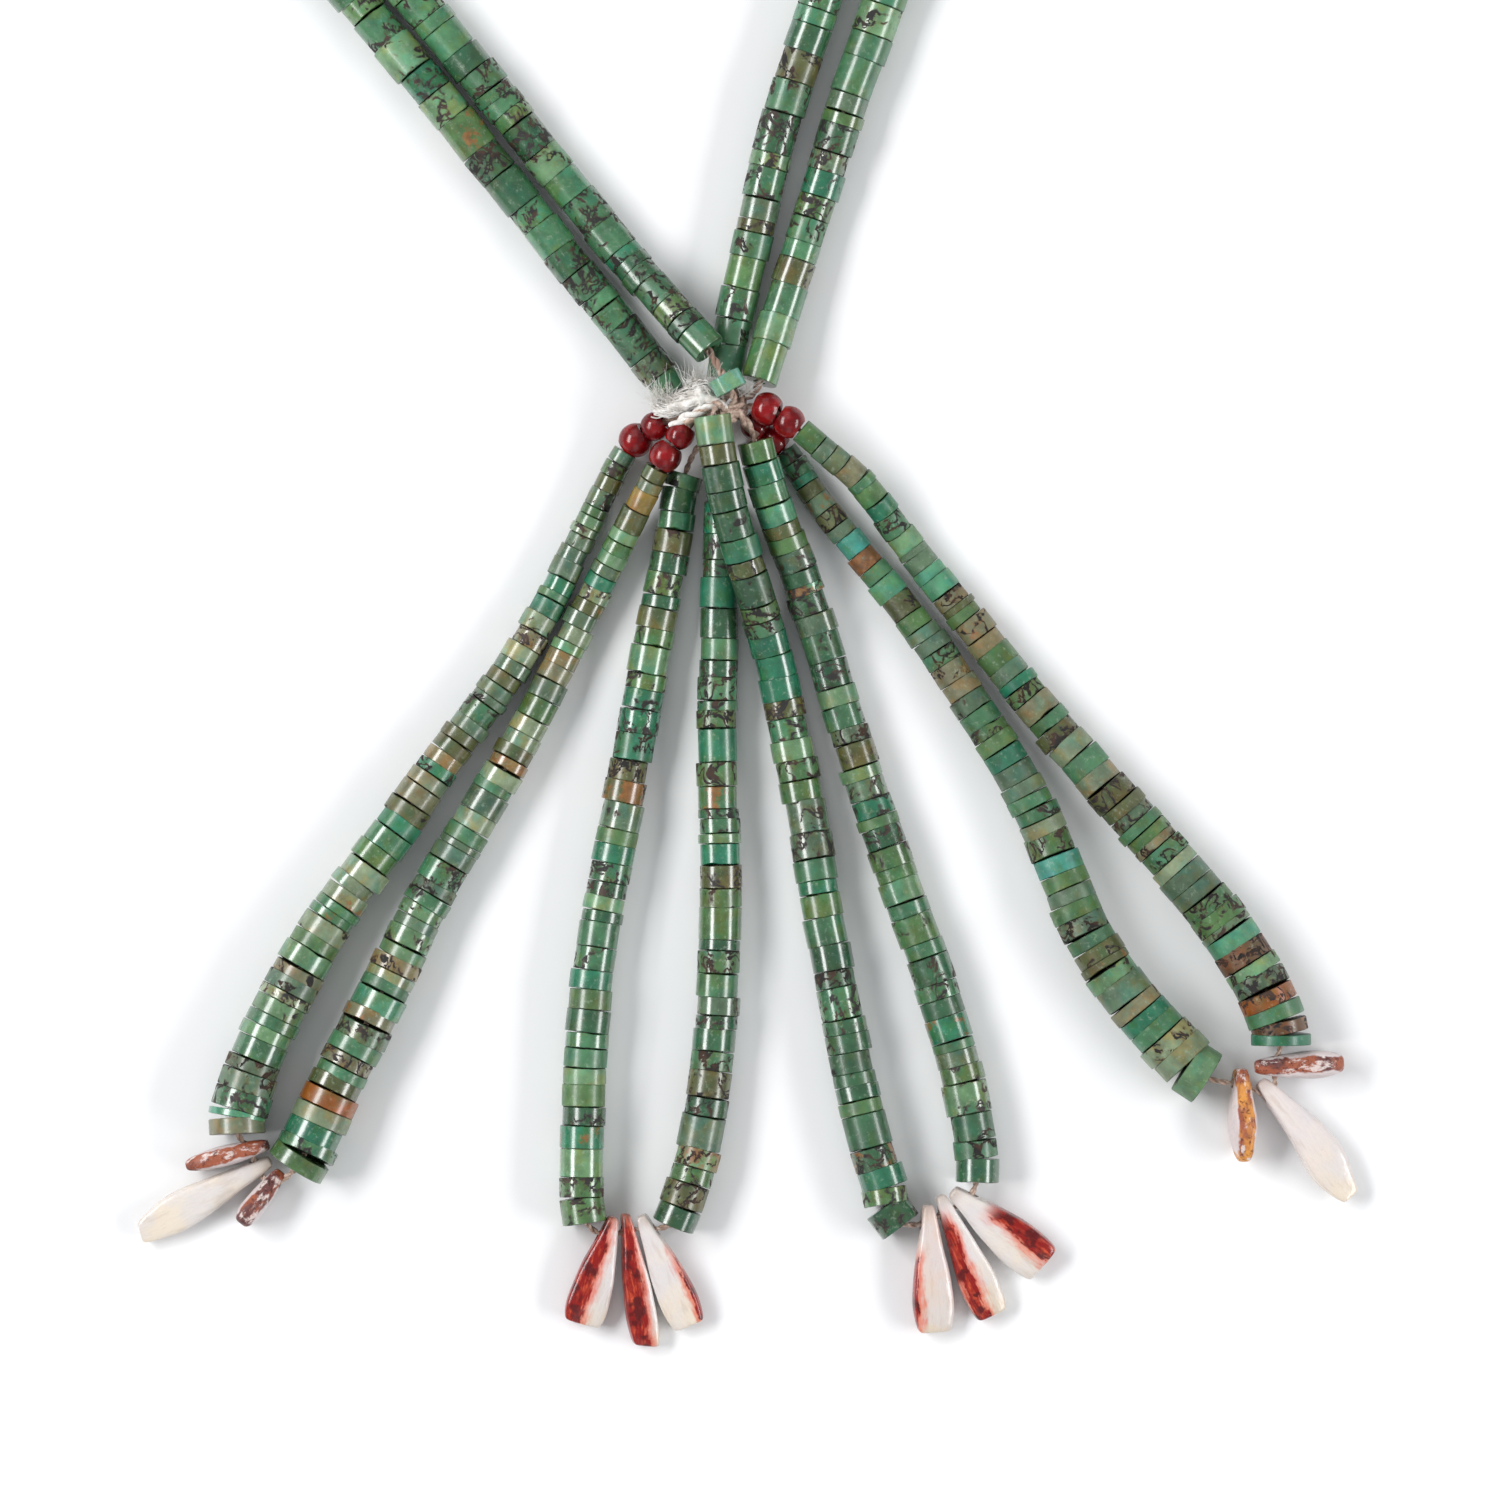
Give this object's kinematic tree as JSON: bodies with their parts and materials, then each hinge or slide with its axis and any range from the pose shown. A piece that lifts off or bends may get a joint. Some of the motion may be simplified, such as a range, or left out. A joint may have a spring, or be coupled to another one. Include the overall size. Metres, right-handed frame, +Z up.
{
  "type": "double strand necklace",
  "caption": "Double-strand necklace of drilled turquoise discs, closed in a large loop, with pendant loops tied on at a knot of twine and narrow shell tabs at their feet.",
  "frame": {"origin": "middle of the underside of the whole necklace as it lies on its surface", "axes": "+X to the right in the picture, +Y from the shell tabs to the back of the neck, +Z up off the surface, so the necklace lies in the XY plane"},
  "size_m": [0.2312, 0.4308, 0.0134],
  "materials": {
    "turquoise": "polished",
    "shell": "polished",
    "red_glass": "gloss",
    "twine": "matte",
    "cotton": "matte"
  },
  "bodies": {
    "root": {"outer_strand_front": "turquoise", "outer_strand_back": "turquoise", "outer_strand_thread": "twine", "inner_strand_front": "turquoise", "inner_strand_back": "turquoise", "inner_strand_thread": "twine", "loop_1_outer_leg": "turquoise", "loop_1_inner_leg": "turquoise", "loop_1_thread": "twine", "loop_1_tab_1": "shell", "loop_1_tab_2": "shell", "loop_1_tab_3": "shell", "loop_2_left_leg": "turquoise", "loop_2_right_leg": "turquoise", "loop_2_thread": "twine", "loop_2_tab_1": "shell", "loop_2_tab_2": "shell", "loop_2_tab_3": "shell", "loop_3_left_leg": "turquoise", "loop_3_right_leg": "turquoise", "loop_3_thread": "twine", "loop_3_tab_1": "shell", "loop_3_tab_2": "shell", "loop_3_tab_3": "shell", "loop_4_inner_leg": "turquoise", "loop_4_outer_leg": "turquoise", "loop_4_thread": "twine", "loop_4_tab_1": "shell", "loop_4_tab_2": "shell", "loop_4_tab_3": "shell", "glass_bead_1": "red_glass", "glass_bead_2": "red_glass", "glass_bead_3": "red_glass", "glass_bead_4": "red_glass", "glass_bead_5": "red_glass", "glass_bead_6": "red_glass", "glass_bead_7": "red_glass", "glass_bead_8": "red_glass", "knot_disc": "turquoise", "twine_knot": "twine", "cotton_tuft": "cotton"}
  },
  "joints": []
}
